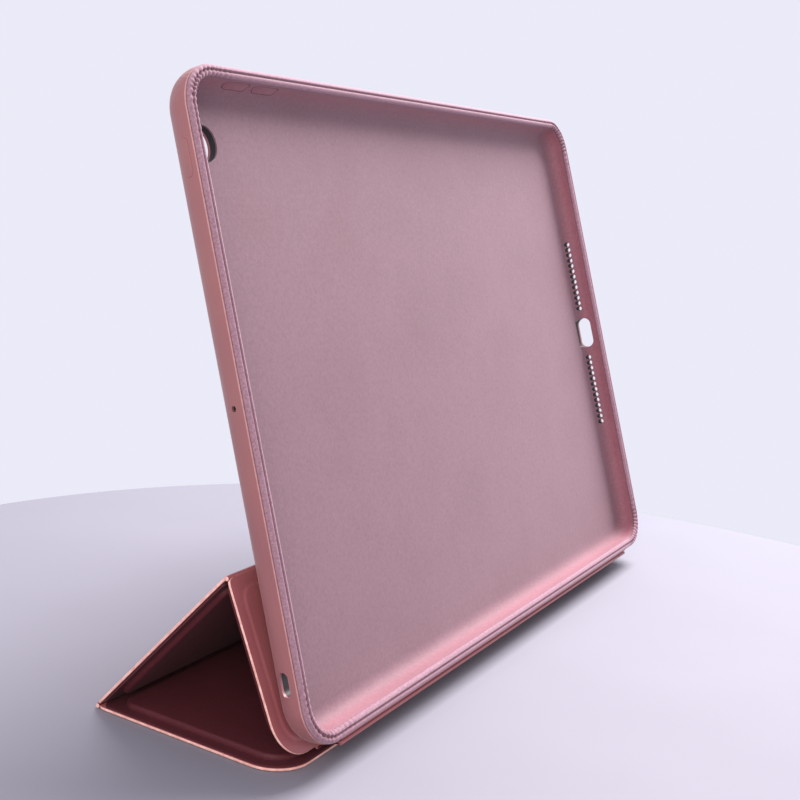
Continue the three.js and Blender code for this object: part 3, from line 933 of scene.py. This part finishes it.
panel_2_at, panel_3_at = panel_frame(fold_1_at, fold_2_at), panel_frame(fold_2_at, free_edge_at)
fold_roll("fold_1_roll", "panel_2", panel_2_at, ("fold_1_skin", "fold_1_lining"))
fold_roll("fold_2_roll", "panel_3", panel_3_at, ("fold_2_skin", "fold_2_lining"))


# ---------------------------------------------------------------- cover: boards, magnets and keeper
# Grey card boards stiffen the panels. Four bar magnets and a small disc sit in pockets near the free
# edge, and a steel strip in the first panel gives them something to hold when the stand is folded.
def grey_card():
    material, shader = finish_named("grey_card", srgb(112, 106, 102), 0.9)
    tones = [srgb(96, 92, 88), srgb(130, 124, 118)]
    link(material, mottle(material, 900, 6, 0.3, 0.7, tones), shader.inputs["Base Color"])
    bumped(material, shader, noise_height(material, 1800, 4), 0.4, 0.1 * mm)
    return material


def plated_steel():
    material, shader = finish_named("plated_steel", srgb(190, 194, 200), 0.32)
    shader.inputs["Metallic"].default_value = 1
    brushed = add_node(material, "ShaderNodeMapRange", to_min=0.24, to_max=0.42)
    link(material, noise_height(material, 1200, 3), brushed.inputs["Value"])
    link(material, brushed.outputs["Result"], shader.inputs["Roughness"])
    return material


card, steel = grey_card(), plated_steel()
for name, node in frame["nodes"].items():
    if name.endswith("_board"):
        node.data.materials.clear()
        node.data.materials.append(card)
    if "magnet" in name or name.endswith("keeper_strip"):
        node.data.materials.clear()
        node.data.materials.append(steel)


# ---------------------------------------------------------------- table, light and camera
# A plain pale round table top under soft studio light, with a near-white surround. One panel hangs
# high at the port's end, and a weaker, warmer one stands at the other end, in front of the case.
table_radius, table_depth, table_edge = 270 * mm, 20 * mm, 3 * mm
table_x, table_y, table_clearance = -70 * mm, -70 * mm, 0.2 * mm
bpy.ops.mesh.primitive_cylinder_add(
    vertices=180,
    radius=table_radius,
    depth=table_depth,
    location=(table_x, table_y, -table_depth / 2 - table_clearance),
)
table = started("table")
pick("EDGE", lambda e: abs(e.verts[0].co.z - e.verts[1].co.z) < 0.1 * mm)
bpy.ops.mesh.bevel(offset=table_edge, segments=4, affect="EDGES")
bpy.ops.object.mode_set(mode="OBJECT")
bpy.ops.object.shade_smooth_by_angle(angle=math.radians(40))
table_finish, table_shader = finish_named("table_finish", srgb(130, 129, 139), 0.7)
tones = [srgb(127, 126, 136), srgb(133, 132, 142)]
link(table_finish, mottle(table_finish, 6, 3, 0.3, 0.7, tones), table_shader.inputs["Base Color"])
table.data.materials.append(table_finish)

sky = bpy.data.worlds.new("studio")
sky.use_nodes = True
sky.node_tree.nodes["Background"].inputs["Color"].default_value = srgb(240, 240, 254)
sky.node_tree.nodes["Background"].inputs["Strength"].default_value = 0.95
bpy.context.scene.world = sky


def light_panel(name, at, aim, size, power, colour):
    bpy.ops.object.light_add(type="AREA", location=at)
    panel = bpy.context.object
    panel.name = name
    panel.data.size = size
    panel.data.energy = power
    panel.data.color = colour[:3]
    panel.rotation_euler = (Vector(aim) - Vector(at)).to_track_quat("-Z", "Y").to_euler()


light_panel("overhead_light", (0.6, -0.12, 0.95), (0.05, 0, 0.05), 0.6, 31, srgb(255, 250, 252))
light_panel("window_light", (-1.1, -0.45, 0.55), (0, 0, 0.08), 0.6, 9, srgb(255, 236, 230))

camera_at = Vector((-0.377, -0.187, 0.158))
camera_heading = math.radians(28.77)
camera_dip = math.radians(8.22)
camera_roll = math.radians(5.4)
bpy.ops.object.camera_add(location=camera_at)
camera = bpy.context.object
look = Vector((
    math.cos(camera_heading) * math.cos(camera_dip),
    math.sin(camera_heading) * math.cos(camera_dip),
    -math.sin(camera_dip),
))
aim = look.to_track_quat("-Z", "Y").to_matrix() @ Matrix.Rotation(camera_roll, 3, "Z")
camera.rotation_euler = aim.to_euler()
camera.data.sensor_width = 36
camera.data.lens = 57.8
camera.data.shift_x = 0.0025
camera.data.shift_y = -0.084
camera.data.clip_start = 0.01
bpy.context.scene.camera = camera
bpy.context.scene.view_settings.view_transform = "Standard"
